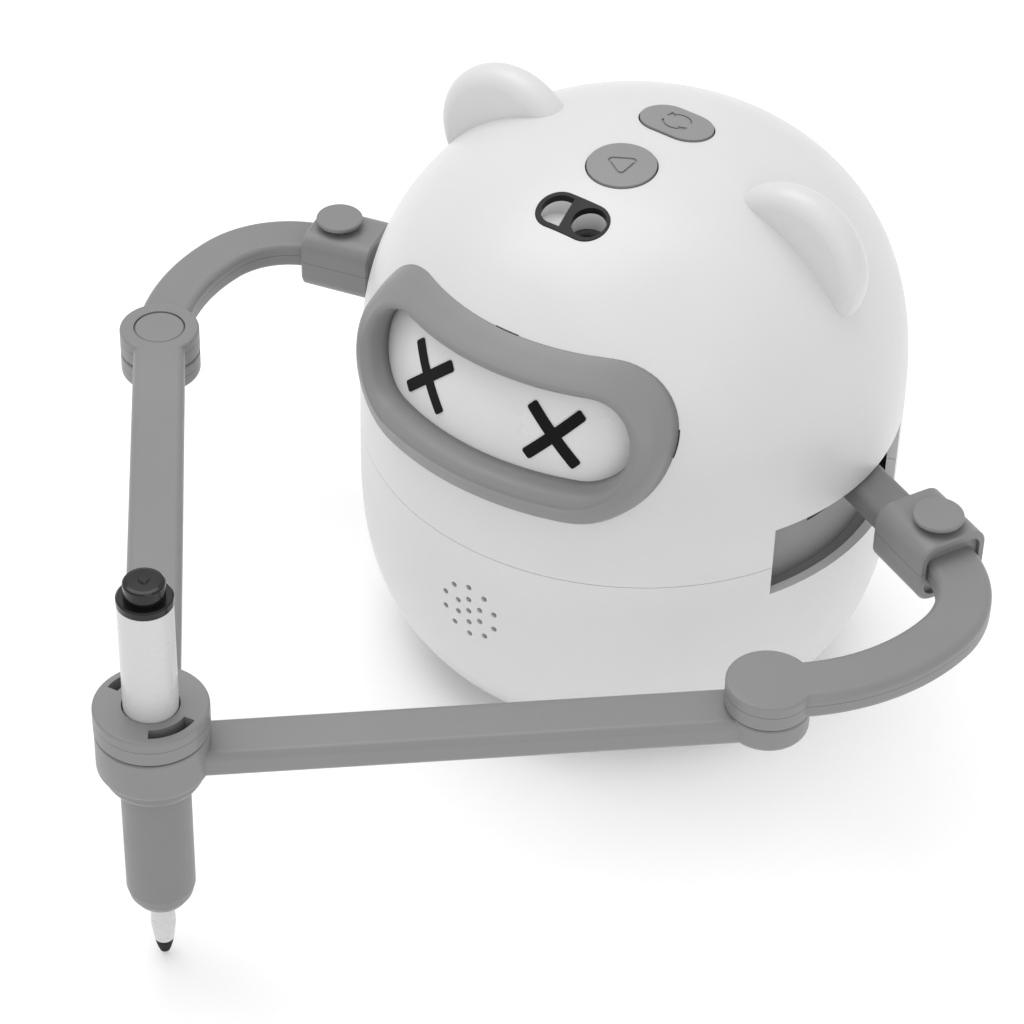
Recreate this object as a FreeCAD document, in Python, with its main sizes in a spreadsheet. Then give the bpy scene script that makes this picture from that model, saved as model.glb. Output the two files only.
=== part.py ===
"""Two-armed drawing robot: a bear-eared white body with a pair of grey folding arms that carry a marker.

Frame: millimetres, +Z up, the robot faces -Y, +X is the robot's left.
The origin is the middle of the rubber pad under the body, at floor level.
Both shoulders turn about one vertical axis behind the middle of the body. The two upper arms and
the two forearms have the same length, so the linkage is a rhombus, with the marker opposite the
shoulders. The left upper arm and the right forearm lie in the upper layer; the right upper arm
and the left forearm lie in the lower layer.
"""
import FreeCAD, Part
import Sketcher
import math
import os

V = FreeCAD.Vector
UP = V(0, 0, 1)

DIMENSIONS = [
    # body
    ("shell_radius", 67.6),
    ("shell_wall", 2.4),
    ("base_low_z", 10.6),
    ("base_low_radius", 55.5),
    ("base_power", 3.8),
    ("seam_z", 67.5),
    ("dome_base_z", 80.0),
    ("dome_height", 67.0),
    ("dome_power", 2.5),
    ("plinth_radius", 46.0),
    ("pad_radius", 43.0),
    ("pad_height", 1.5),
    # arm slots and the grey liner behind them
    ("slot_low_z", 59.2),
    ("slot_high_z", 79.2),
    ("slot_front_angle", 25.5),
    ("slot_rear_angle", 20.8),
    ("liner_radius", 62.0),
    ("liner_wall", 1.6),
    ("left_window_angle", 12.5),
    ("right_window_angle", 20.0),
    # ears
    ("ear_x", 41.2),
    ("ear_z", 131.2),
    ("ear_radius", 19.26),
    ("ear_front_y", -1.5),
    ("ear_depth", 10.0),
    ("ear_front_round", 4.0),
    ("ear_back_round", 5.6),
    # face
    ("visor_half_width", 36.2),
    ("visor_low_z", 96.7),
    ("visor_high_z", 118.5),
    ("visor_outer_half_width", 43.7),
    ("visor_outer_low_z", 85.2),
    ("visor_outer_high_z", 126.1),
    ("visor_proud", 5.0),
    ("visor_lining", 0.8),
    ("panel_depth", 1.6),
    ("panel_thickness", 1.8),
    ("eye_angle", 16.6),
    ("eye_z", 106.7),
    ("eye_stroke", 17.8),
    ("eye_width", 2.8),
    # controls on the crown
    ("camera_y", -29.5),
    ("lens_x", 4.6),
    ("lens_well", 4.15),
    ("well_depth", 8.2),
    ("camera_plate", 1.3),
    ("camera_half_length", 9.4),
    ("camera_half_width", 5.2),
    ("play_y", -9.8),
    ("play_radius", 8.3),
    ("loop_y", 13.3),
    ("loop_half_length", 9.4),
    ("loop_half_width", 6.3),
    ("button_proud", 0.5),
    ("button_gap", 0.35),
    ("engraving", 0.35),
    # speaker
    ("speaker_z", 47.8),
    ("speaker_hole", 0.8),
    ("speaker_inner_ring", 3.7),
    ("speaker_outer_ring", 7.6),
    ("speaker_radius", 13.0),
    # parts inside the body
    ("deck_thickness", 2.4),
    ("screw_circle", 49.0),
    ("post_height", 27.5),
    ("motor_radius", 12.0),
    ("motor_length", 23.6),
    ("low_motor_z", 40.0),
    ("high_motor_z", 82.4),
    ("bracket_width", 34.0),
    ("cell_radius", 9.0),
    ("cell_length", 50.0),
    ("board_thickness", 1.6),
    ("main_board_z", 50.0),
    ("rear_board_y", 51.0),
    ("port_x", 18.0),
    ("port_z", 30.0),
    # linkage
    ("shoulder_y", 32.5),
    ("link_length", 138.1),
    ("left_arm_angle", -50.3),
    ("right_arm_angle", -139.2),
    ("stub_angle", 26.3),
    ("arm_top_z", 79.7),
    ("arm_height", 6.9),
    ("layer_gap", 0.3),
    ("bar_width", 12.8),
    ("bar_round", 1.9),
    ("elbow_radius", 10.0),
    ("elbow_cap_radius", 6.35),
    ("elbow_cap_height", 2.2),
    ("pin_radius", 3.0),
    ("pin_clearance", 0.05),
    ("socket_start", 89.5),
    ("socket_length", 19.0),
    ("socket_width", 18.6),
    ("socket_height", 16.4),
    ("socket_round", 4.6),
    ("stub_width", 11.6),
    ("stub_height", 6.3),
    ("stub_drop", 1.2),
    ("bend_start", 105.5),
    ("bend_radius", 24.0),
    ("bend_turn", 70.0),
    ("lock_position", 101.3),
    ("lock_radius", 6.1),
    ("lock_head", 1.2),
    ("lock_lift", 1.6),
    ("lock_stem", 5.4),
    # marker and its holder
    ("ring_radius", 13.1),
    ("lower_ring_height", 11.1),
    ("forearm_drop", 4.0),
    ("collar_height", 4.9),
    ("marker_radius", 6.25),
    ("marker_gap", 0.35),
    ("holder_radius", 8.0),
    ("holder_low_z", 18.5),
    ("ledge_z", 25.6),
    ("tip_radius", 2.7),
    ("marker_top_z", 109.7),
    ("plug_top_z", 116.3),
    ("nose_z", 5.2),
    ("nib_radius", 2.2),
    ("nib_clearance", 0.3),
]

doc = FreeCAD.newDocument("drawing_robot")
sheet = doc.addObject("Spreadsheet::Sheet", "dims")
for row, (alias, value) in enumerate(DIMENSIONS, start=1):
    sheet.set("A%d" % row, alias)
    sheet.set("B%d" % row, str(value))
    sheet.setAlias("B%d" % row, alias)
doc.recompute()

NODES = []


def size(alias):
    """A driving dimension, as a number."""
    return float(sheet.get(alias))


def bind(obj, **expressions):
    """Bind properties to sheet expressions; x, y and z stand for the placement."""
    places = {"x": "Placement.Base.x", "y": "Placement.Base.y", "z": "Placement.Base.z"}
    for name, expression in expressions.items():
        obj.setExpression(places.get(name, name), str(expression))
    return obj


def cylinder(name, radius, height, x="0", y="0", z="0"):
    return bind(doc.addObject("Part::Cylinder", name), Radius=radius, Height=height, x=x, y=y, z=z)


def cone(name, low_radius, high_radius, height, x="0", y="0", z="0"):
    obj = doc.addObject("Part::Cone", name)
    return bind(obj, Radius1=low_radius, Radius2=high_radius, Height=height, x=x, y=y, z=z)


def box(name, length, width, height, x="0", y="0", z="0"):
    """A box centred on x and y, standing on z."""
    obj = doc.addObject("Part::Box", name)
    bind(obj, Length=length, Width=width, Height=height)
    return bind(obj, x="(%s) - (%s) / 2" % (x, length), y="(%s) - (%s) / 2" % (y, width), z=z)


def cut(name, base, *tools):
    for count, tool in enumerate(tools):
        last = count == len(tools) - 1
        step = doc.addObject("Part::Cut", name if last else "%s_cut%d" % (name, count))
        step.Base = base
        step.Tool = tool
        base = step
    return base


def fuse(name, *shapes):
    step = doc.addObject("Part::MultiFuse", name)
    step.Shapes = list(shapes)
    return step


def feature(name, shape):
    """A shape that neither primitives nor bodies describe, made from Part's own functions."""
    obj = doc.addObject("Part::Feature", name)
    obj.Shape = shape
    return obj


def node(obj, label):
    """Name a finished sub-part; its label is the name of its file."""
    obj.Label = label
    NODES.append(obj)
    return obj


def turned(obj, angle, x="0", y="0", z="0"):
    """Turn an object about Z by an angle from the sheet and move it."""
    bind(obj, x=x, y=y, z=z)
    obj.setExpression("Placement.Rotation.Axis.x", "0")
    obj.setExpression("Placement.Rotation.Axis.y", "0")
    obj.setExpression("Placement.Rotation.Axis.z", "1")
    obj.setExpression("Placement.Rotation.Angle", angle)
    return obj


def laid(obj, axis, x="0", y="0", z="0"):
    """Turn an upright object until its axis points along axis, and place its foot."""
    obj.Placement = FreeCAD.Placement(V(0, 0, 0), FreeCAD.Rotation(UP, axis))
    return bind(obj, x=x, y=y, z=z)


def lathe(name, corners, x="0", y="0"):
    """A PartDesign body turned about Z from (radius, height) corners, each an expression."""
    body = doc.addObject("PartDesign::Body", name)
    plane = [item for item in body.Origin.OriginFeatures if item.Role == "XZ_Plane"][0]
    sketch = body.newObject("Sketcher::SketchObject", name + "_section")
    sketch.AttachmentSupport = [(plane, "")]
    sketch.MapMode = "FlatFace"
    count = len(corners)
    for number in range(count):
        here = 2 * math.pi * number / count
        there = 2 * math.pi * (number + 1) / count
        start = V(30 + 9 * math.cos(here), 30 + 9 * math.sin(here), 0)
        end = V(30 + 9 * math.cos(there), 30 + 9 * math.sin(there), 0)
        sketch.addGeometry(Part.LineSegment(start, end), False)
    for number in range(count):
        sketch.addConstraint(Sketcher.Constraint("Coincident", number, 2, (number + 1) % count, 1))
    for number, (radius, height) in enumerate(corners):
        if radius == "0":
            sketch.addConstraint(Sketcher.Constraint("PointOnObject", number, 1, -2))
        else:
            across = sketch.addConstraint(Sketcher.Constraint("DistanceX", -1, 1, number, 1, 30.0))
            sketch.setExpression("Constraints[%d]" % across, radius)
        if height == "0":
            sketch.addConstraint(Sketcher.Constraint("PointOnObject", number, 1, -1))
        else:
            rise = sketch.addConstraint(Sketcher.Constraint("DistanceY", -1, 1, number, 1, 30.0))
            sketch.setExpression("Constraints[%d]" % rise, height)
    turn = body.newObject("PartDesign::Revolution", name + "_turn")
    turn.Profile = sketch
    turn.ReferenceAxis = (sketch, ["V_Axis"])
    turn.Angle = 360
    sketch.Visibility = False
    return bind(body, x=x, y=y)


# ---------------------------------------------------------------- curves and turned shells

def dome_curve(inset):
    """Points of the dome's superellipse in the XZ plane, moved inwards by inset."""
    radius = size("shell_radius") - inset
    height = size("dome_height") - inset
    points = []
    steps = 14
    for step in range(steps + 1):
        angle = math.pi / 2 * step / steps
        across = radius * math.cos(angle) ** (2 / size("dome_power"))
        rise = height * math.sin(angle) ** (2 / size("dome_power"))
        points.append(V(across, 0, size("dome_base_z") + rise))
    points[-1] = V(0, 0, size("dome_base_z") + height)
    return points


def dome_solid(inset, low_z):
    """The dome with its short straight skirt, as a solid of revolution standing on low_z."""
    points = dome_curve(inset)
    crown = Part.BSplineCurve()
    crown.interpolate(points, InitialTangent=V(0, 0, 1), FinalTangent=V(-1, 0, 0))
    foot = V(points[0].x, 0, low_z)
    edges = [
        Part.LineSegment(V(0, 0, low_z), foot).toShape(),
        Part.LineSegment(foot, points[0]).toShape(),
        crown.toShape(),
        Part.LineSegment(points[-1], V(0, 0, low_z)).toShape(),
    ]
    return Part.Face(Part.Wire(edges)).revolve(V(0, 0, 0), UP, 360)


def dome_radius(z):
    """Radius of the dome's outer skin at a height."""
    rise = (z - size("dome_base_z")) / size("dome_height")
    return size("shell_radius") * (1 - rise ** size("dome_power")) ** (1 / size("dome_power"))


def base_outline_radius(z, inset):
    """The lower shell narrows towards the floor along a power curve."""
    fall = (size("seam_z") - z) / (size("seam_z") - size("base_low_z"))
    narrowing = (size("shell_radius") - size("base_low_radius")) * fall ** size("base_power")
    return size("shell_radius") - narrowing - inset


def base_solid(inset, low_z):
    """The lower body as a solid of revolution from low_z up to the seam."""
    points = []
    steps = 10
    for step in range(steps + 1):
        z = low_z + (size("seam_z") - low_z) * step / steps
        points.append(V(base_outline_radius(z, inset), 0, z))
    wall = Part.BSplineCurve()
    wall.interpolate(points)
    edges = [
        Part.LineSegment(V(0, 0, low_z), points[0]).toShape(),
        wall.toShape(),
        Part.LineSegment(points[-1], V(0, 0, size("seam_z"))).toShape(),
        Part.LineSegment(V(0, 0, size("seam_z")), V(0, 0, low_z)).toShape(),
    ]
    return Part.Face(Part.Wire(edges)).revolve(V(0, 0, 0), UP, 360)


def sector(name, radius, front_angle, rear_angle, low_z, high_z, side):
    """A wedge about the body's axis that opens to the left (side 1) or the right (side -1)."""
    obj = cylinder(name, radius, "(%s) - (%s)" % (high_z, low_z))
    bind(obj, Angle="%s + %s" % (front_angle, rear_angle))
    start = "-(%s)" % front_angle if side > 0 else "180 - (%s)" % rear_angle
    return turned(obj, start, z=low_z)


def stadium_prism(half_length, half_width, low_z, high_z, y):
    """A vertical prism with a rounded-end outline, long along X."""
    flat = half_length - half_width
    arc_left = Part.Arc(V(-flat, half_width, 0), V(-half_length, 0, 0), V(-flat, -half_width, 0))
    arc_right = Part.Arc(V(flat, -half_width, 0), V(half_length, 0, 0), V(flat, half_width, 0))
    edges = [
        Part.LineSegment(V(flat, half_width, 0), V(-flat, half_width, 0)).toShape(),
        arc_left.toShape(),
        Part.LineSegment(V(-flat, -half_width, 0), V(flat, -half_width, 0)).toShape(),
        arc_right.toShape(),
    ]
    prism = Part.Face(Part.Wire(edges)).extrude(V(0, 0, high_z - low_z))
    prism.translate(V(0, y, low_z))
    return prism


def stadium_front(half_width, low, high):
    """A stadium outline seen from the front, as a prism along Y that reaches the middle of the body."""
    radius = (high - low) / 2
    middle = (high + low) / 2
    flat = half_width - radius
    front = -size("shell_radius") - 20
    left = Part.Arc(V(-flat, front, high), V(-half_width, front, middle), V(-flat, front, low))
    right = Part.Arc(V(flat, front, low), V(half_width, front, middle), V(flat, front, high))
    edges = [
        Part.LineSegment(V(flat, front, high), V(-flat, front, high)).toShape(),
        left.toShape(),
        Part.LineSegment(V(-flat, front, low), V(flat, front, low)).toShape(),
        right.toShape(),
    ]
    return Part.Face(Part.Wire(edges)).extrude(V(0, size("shell_radius"), 0))


def visor_opening(grow):
    """The opening of the visor, grown by a margin all round."""
    return stadium_front(size("visor_half_width") + grow, size("visor_low_z") - grow, size("visor_high_z") + grow)


def visor_envelope():
    """The visor's bulk: a lip that follows the dome, trimmed to the outer stadium outline."""
    low = size("visor_outer_low_z")
    high = size("visor_outer_high_z")
    proud = size("visor_proud")
    corners = [V(40, 0, low), V(dome_radius(low) + 0.6, 0, low), V(dome_radius(low) + proud - 1, 0, low + 3.5)]
    steps = 8
    for step in range(steps + 1):
        z = low + 8 + (high - low - 12) * step / steps
        corners.append(V(dome_radius(z) + proud, 0, z))
    corners += [V(dome_radius(high - 2) + proud - 1.5, 0, high - 2), V(dome_radius(high) + 0.6, 0, high)]
    corners.append(V(40, 0, high))
    ring = Part.Face(Part.makePolygon(corners + corners[:1])).revolve(V(0, 0, 0), UP, 360)
    return ring.common(stadium_front(size("visor_outer_half_width"), low, high))


# ---------------------------------------------------------------- body

def slot_tools(prefix):
    """The pair of wedges that open the arm slots in a shell."""
    return [
        sector("%s_%s" % (prefix, name), "dims.shell_radius + 5", "dims.slot_front_angle",
               "dims.slot_rear_angle", "dims.slot_low_z", "dims.slot_high_z", side)
        for name, side in (("left", 1), ("right", -1))
    ]


def ear(side):
    """A round ear with a flat front, a softened rim and a back that rounds into the dome."""
    front_y = size("ear_front_y")
    back_y = front_y + size("ear_depth")
    disc = Part.makeCylinder(size("ear_radius"), size("ear_depth"),
                             V(side * size("ear_x"), front_y, size("ear_z")), V(0, 1, 0))
    for rim_y, rounding in ((front_y, size("ear_front_round")), (back_y, size("ear_back_round"))):
        rim = [edge for edge in disc.Edges if abs(edge.CenterOfMass.y - rim_y) < 0.01]
        disc = disc.makeFillet(rounding, rim)
    return disc


def speaker_hole_places():
    """One hole in the middle, a ring of six and an outer ring of ten, as sideways and upward steps."""
    places = [(0.0, 0.0)]
    for count, reach in ((6, size("speaker_inner_ring")), (10, size("speaker_outer_ring"))):
        for number in range(count):
            angle = math.pi / 2 + 2 * math.pi * number / count
            places.append((reach * math.cos(angle), reach * math.sin(angle)))
    return places


def screw_places():
    """The four screws stand on a circle, at 45 degrees to the axes."""
    reach = size("screw_circle") * math.sqrt(0.5)
    return [(x * reach, y * reach) for x in (1, -1) for y in (1, -1)]


def shell_bosses():
    """Screw bosses inside the lower shell, each tied to the wall by a rib."""
    foot = size("base_low_z") + 0.1 + size("deck_thickness")
    bosses = []
    for x, y in screw_places():
        rib = Part.makeBox(10, 4, 16, V(size("screw_circle"), -2, foot))
        rib.rotate(V(0, 0, 0), UP, math.degrees(math.atan2(y, x)))
        boss = Part.makeCylinder(3.5, 16, V(x, y, foot)).fuse(rib)
        bosses.append(boss.cut(Part.makeCylinder(1.4, 13, V(x, y, foot - 1))))
    return bosses


def make_base_shell():
    low = size("base_low_z")
    wall = base_solid(0, low).cut(base_solid(size("shell_wall"), low))
    ring = Part.makeCylinder(size("speaker_radius") + 1.8, 8, V(0, -66.5, size("speaker_z")), V(0, 1, 0))
    ring = ring.cut(Part.makeCylinder(size("speaker_radius"), 8, V(0, -66.5, size("speaker_z")), V(0, 1, 0)))
    inner_parts = [part.common(base_solid(1.0, low)) for part in [ring] + shell_bosses()]
    wall = wall.fuse(inner_parts)
    for across, rise in speaker_hole_places():
        start = V(across, -size("shell_radius") - 2, size("speaker_z") + rise)
        wall = wall.cut(Part.makeCylinder(size("speaker_hole"), 7, start, V(0, 1, 0)))
    port_x = size("port_x")
    port_z = size("port_z")
    socket_hole = Part.makeBox(10.4, 12, 5.4, V(-port_x - 5.2, 56, port_z - 2.7))
    switch_hole = Part.makeBox(9.0, 12, 4.6, V(port_x - 4.5, 56, port_z - 2.3))
    wall = wall.cut(socket_hole).cut(switch_hole)
    raw = feature("base_wall", wall)
    node(cut("base_shell", raw, *slot_tools("base_slot")), "base_shell")


def board_bosses():
    """Posts that hang from the inside of the dome and carry the button board and the camera board."""
    crown = size("dome_base_z") + size("dome_height")
    places = [(x, 2, 2.4, crown - 13.4) for x in (-14.4, 14.4)]
    places += [(x, size("camera_y"), 2.0, crown - 11) for x in (-14, 14)]
    return [Part.makeCylinder(radius, 20, V(x, y, foot)).common(dome_solid(1.0, 90))
            for x, y, radius, foot in places]


def make_head_shell():
    shell = dome_solid(0, size("seam_z") + 0.15).fuse([ear(1), ear(-1)])
    shell = shell.cut(dome_solid(size("shell_wall"), size("seam_z") - 1))
    shell = shell.fuse(board_bosses())
    shell = shell.cut(visor_opening(size("visor_lining") + 0.1))
    crown = size("dome_base_z") + size("dome_height")
    gap = size("button_gap")
    shell = shell.cut(stadium_prism(size("camera_half_length") + 0.1, size("camera_half_width") + 0.1,
                                    crown - 20, crown + 5, size("camera_y")))
    shell = shell.cut(stadium_prism(size("loop_half_length") + gap, size("loop_half_width") + gap,
                                    crown - 20, crown + 5, size("loop_y")))
    shell = shell.cut(Part.makeCylinder(size("play_radius") + gap, 25, V(0, size("play_y"), crown - 20)))
    raw = feature("head_wall", shell)
    node(cut("head_shell", raw, *slot_tools("head_slot")), "head_shell")


def make_base_plate():
    """Dish-shaped plinth with a rim that closes the shell from below, and posts for what it carries."""
    inner = "dims.plinth_radius - dims.deck_thickness"
    rim = "dims.base_low_radius - dims.shell_wall - 0.1"
    low = "dims.pad_height"
    deck = "dims.base_low_z + 0.1"
    dish = lathe("plinth_dish", [
        ("0", low), ("dims.plinth_radius - 1", low), ("dims.plinth_radius", low + " + 1"),
        ("dims.plinth_radius", deck), (rim, deck), (rim, deck + " + dims.deck_thickness"),
        (inner, deck + " + dims.deck_thickness"), (inner, low + " + dims.deck_thickness"),
        ("0", low + " + dims.deck_thickness")])
    posts = []
    for number, (x, y) in enumerate(((12, 47), (-12, 47))):
        posts.append(cylinder("frame_post%d" % number, "3.2", "dims.post_height - dims.pad_height - 1",
                              x=str(x), y=str(y), z="dims.pad_height + 1"))
    for number, (x, y) in enumerate(((24, -2), (-24, -2), (24, -30), (-24, -30))):
        posts.append(cylinder("tray_post%d" % number, "3.2", "17 - dims.pad_height - 1",
                              x=str(x), y=str(y), z="dims.pad_height + 1"))
    holes = []
    for number, (x, y) in enumerate(screw_places()):
        holes.append(cylinder("screw_hole%d" % number, "1.6", "6", x=str(x), y=str(y),
                              z="dims.base_low_z - 2"))
    solid = fuse("plate_body", dish, *posts)
    node(cut("base_plate", solid, *holes), "base_plate")
    pad = lathe("rubber_pad", [
        ("0", "0"), ("dims.pad_radius - 0.5", "0"), ("dims.pad_radius", "0.5"),
        ("dims.pad_radius", "dims.pad_height"), ("0", "dims.pad_height")])
    node(pad, "base_pad")


def make_slot_liner():
    """Two curved plates behind the arm slots, each with a window that the stub swings in."""
    low = "dims.slot_low_z"
    high = "dims.slot_high_z"
    lip = "dims.shell_radius - dims.shell_wall"
    inner = "dims.liner_radius - dims.liner_wall"
    ring = lathe("liner_ring", [
        (inner, low + " - 2.4"), (lip + " - 0.1", low + " - 2.4"), (lip + " - 0.1", low + " - 1.2"),
        ("dims.liner_radius", low + " - 1.2"), ("dims.liner_radius", high + " + 1.2"),
        (lip + " - 0.1", high + " + 1.2"), (lip + " - 0.1", high + " + 2.4"), (inner, high + " + 2.4")])
    stub_low = "dims.arm_top_z - dims.arm_height / 2 - dims.stub_drop - dims.stub_height / 2 - 0.4"
    windows = []
    for name, side, foot in (("left", 1, stub_low),
                             ("right", -1, stub_low + " - dims.arm_height - dims.layer_gap")):
        windows.append(sector("liner_window_%s" % name, "80", "dims.%s_window_angle" % name,
                              "dims.slot_rear_angle + 4.5", foot, high + " + 0.5", side))
    front = box("liner_front_gap", "76", "60", "40", y="-60", z=low + " - 5")
    rear = box("liner_rear_gap", "80", "60", "40", y="66", z=low + " - 5")
    node(cut("slot_liner_halves", ring, front, rear, *windows), "slot_liners")


def make_face():
    """White face panel behind the visor opening, two X eyes on it and the grey visor frame."""
    depth = size("panel_depth")
    back = depth + size("panel_thickness")
    lining = size("visor_lining")
    plate = dome_solid(depth, 85).cut(dome_solid(back, 84)).common(visor_opening(lining))
    flange = dome_solid(size("shell_wall"), 85).cut(dome_solid(back, 84)).common(visor_opening(4))
    node(feature("panel", plate.fuse(flange)), "face_panel")
    skin = dome_solid(depth - 0.4, 85).cut(dome_solid(depth, 84))
    eyes = []
    for side in (-1, 1):
        bars = []
        for lean in (-1, 1):
            bar = Part.makeBox(size("eye_width"), 40, size("eye_stroke"),
                               V(-size("eye_width") / 2, -80, -size("eye_stroke") / 2))
            long_edges = [edge for edge in bar.Edges if abs(edge.Length - 40) < 1e-6]
            bar = bar.makeFillet(0.6, long_edges)
            bar.rotate(V(0, 0, 0), V(0, 1, 0), 45 * lean)
            bar.translate(V(0, 0, size("eye_z")))
            bar.rotate(V(0, 0, 0), UP, side * size("eye_angle"))
            bars.append(bar.common(skin))
        eyes.append(bars[0].fuse(bars[1]))
    node(feature("eyes", Part.makeCompound(eyes)), "eye_marks")
    wall = dome_solid(-1, 85).cut(dome_solid(depth, 84)).common(visor_opening(lining))
    frame = visor_envelope().cut(dome_solid(0, 60)).fuse(wall).cut(visor_opening(0))
    node(feature("visor", frame), "visor_frame")


def make_camera():
    """Black plate flush in the crown over a pale housing with a lens well and a sensor well."""
    crown = size("dome_base_z") + size("dome_height")
    foot = crown - 11
    floor = crown - size("well_depth")
    y = size("camera_y")
    length = size("camera_half_length")
    width = size("camera_half_width")
    lens_well = Part.makeCylinder(size("lens_well"), 20, V(size("lens_x"), y, foot - 1))
    divider = Part.makeBox(20, 30, 20, V(-20, -15, floor))
    divider.rotate(V(0, 0, 0), UP, 9)
    divider.translate(V(-1.7, y, 0))
    sensor_well = stadium_prism(length - 1.2, width - 1.1, floor, crown + 2, y).common(divider)
    block = stadium_prism(length, width, foot, crown + 2, y)
    plate = block.common(dome_solid(-0.2, 100)).cut(dome_solid(size("camera_plate"), 90))
    node(feature("bezel", plate.cut([lens_well, sensor_well])), "camera_bezel")
    housing = block.common(dome_solid(size("camera_plate"), 100)).cut([lens_well, sensor_well])
    node(feature("lens_housing", housing), "camera_housing")
    window = sensor_well.common(Part.makeBox(30, 30, 0.8, V(-20, y - 15, floor)))
    node(feature("window_plate", window), "sensor_window")
    middle = str((foot + floor) / 2)
    barrel = lathe("lens_barrel", [
        ("0", str(foot)), ("dims.lens_well - 0.1", str(foot)), ("dims.lens_well - 0.1", str(floor)),
        ("2.6", str(floor)), ("2.3", str(floor - 0.6)), ("2.3", middle), ("0", middle)],
        x="dims.lens_x", y="dims.camera_y")
    node(barrel, "camera_lens_barrel")
    glass = lathe("lens_glass", [
        ("0", middle), ("2.2", middle), ("2.2", str(floor - 0.9)), ("1.2", str(floor - 0.5)),
        ("0", str(floor - 0.4))], x="dims.lens_x", y="dims.camera_y")
    node(glass, "camera_lens")
    board = box("camera_board_plate", "34", "14", "dims.board_thickness", y="dims.camera_y",
                z="dims.dome_base_z + dims.dome_height - 11 - dims.board_thickness")
    node(board, "camera_board")


def triangle_prism(reach, rounding, x, y, heading):
    """An upright three-sided prism through the crown, one corner pointing along heading."""
    low_z = size("dome_base_z") + size("dome_height") - 4
    corners = []
    for number in range(3):
        angle = math.radians(heading + 120 * number)
        corners.append(V(x + reach * math.cos(angle), y + reach * math.sin(angle), low_z))
    prism = Part.Face(Part.makePolygon(corners + corners[:1])).extrude(V(0, 0, 6))
    upright = [edge for edge in prism.Edges if abs(edge.BoundBox.ZLength - 6) < 1e-6]
    return prism.makeFillet(rounding, upright)


def play_sign():
    """The outline of a rounded triangle."""
    y = size("play_y")
    return triangle_prism(5.0, 1.2, 0, y, -61).cut(triangle_prism(3.8, 0.8, 0, y, -61))


def loop_sign():
    """Two arrows that chase each other round a circle."""
    low_z = size("dome_base_z") + size("dome_height") - 4
    place = V(0, size("loop_y"), low_z)
    ring = Part.makeCylinder(3.7, 6, place).cut(Part.makeCylinder(3.1, 6, place))
    arrows = []
    for heading in (20, 200):
        arc = Part.makeCylinder(5, 6, V(0, 0, 0), UP, 120)
        arc.rotate(V(0, 0, 0), UP, heading)
        arc.translate(place)
        tip = math.radians(heading + 124)
        head = triangle_prism(1.5, 0.2, 3.4 * math.cos(tip), size("loop_y") + 3.4 * math.sin(tip), heading + 214)
        arrows.append(ring.common(arc).fuse(head))
    return arrows[0].fuse(arrows[1])


def make_buttons():
    """Play and loop buttons: engraved caps that stand a little proud, on a board with two key switches."""
    crown = size("dome_base_z") + size("dome_height")
    skin = dome_solid(-size("button_proud"), 100)
    below = dome_solid(size("engraving") - size("button_proud"), 100)
    play = Part.makeCylinder(size("play_radius"), 9, V(0, size("play_y"), crown - 6)).common(skin)
    stem = Part.makeCylinder(2.2, 3, V(0, size("play_y"), crown - 8.8))
    flange = Part.makeCylinder(size("play_radius") + 1.2, 1.2, V(0, size("play_y"), crown - 6))
    node(feature("play_cap", play.cut(play_sign().cut(below)).fuse([stem, flange])), "play_button")
    loop = stadium_prism(size("loop_half_length"), size("loop_half_width"), crown - 6, crown + 3, size("loop_y"))
    stem = Part.makeCylinder(2.2, 3, V(0, size("loop_y"), crown - 8.8))
    flange = stadium_prism(size("loop_half_length") + 1.2, size("loop_half_width") + 1.2,
                           crown - 6, crown - 4.8, size("loop_y"))
    loop = loop.common(skin).cut(loop_sign().cut(below))
    node(feature("loop_cap", loop.fuse([stem, flange])), "loop_button")
    board_z = "dims.dome_base_z + dims.dome_height - 13.4 - dims.board_thickness"
    node(box("button_plate", "34", "42", "dims.board_thickness", y="2", z=board_z), "button_board")
    keys = [box("%s_key" % name, "6", "6", "3.4", y="dims.%s_y" % name,
                z="dims.dome_base_z + dims.dome_height - 13.4") for name in ("play", "loop")]
    node(fuse("keys", *keys), "key_switches")


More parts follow.
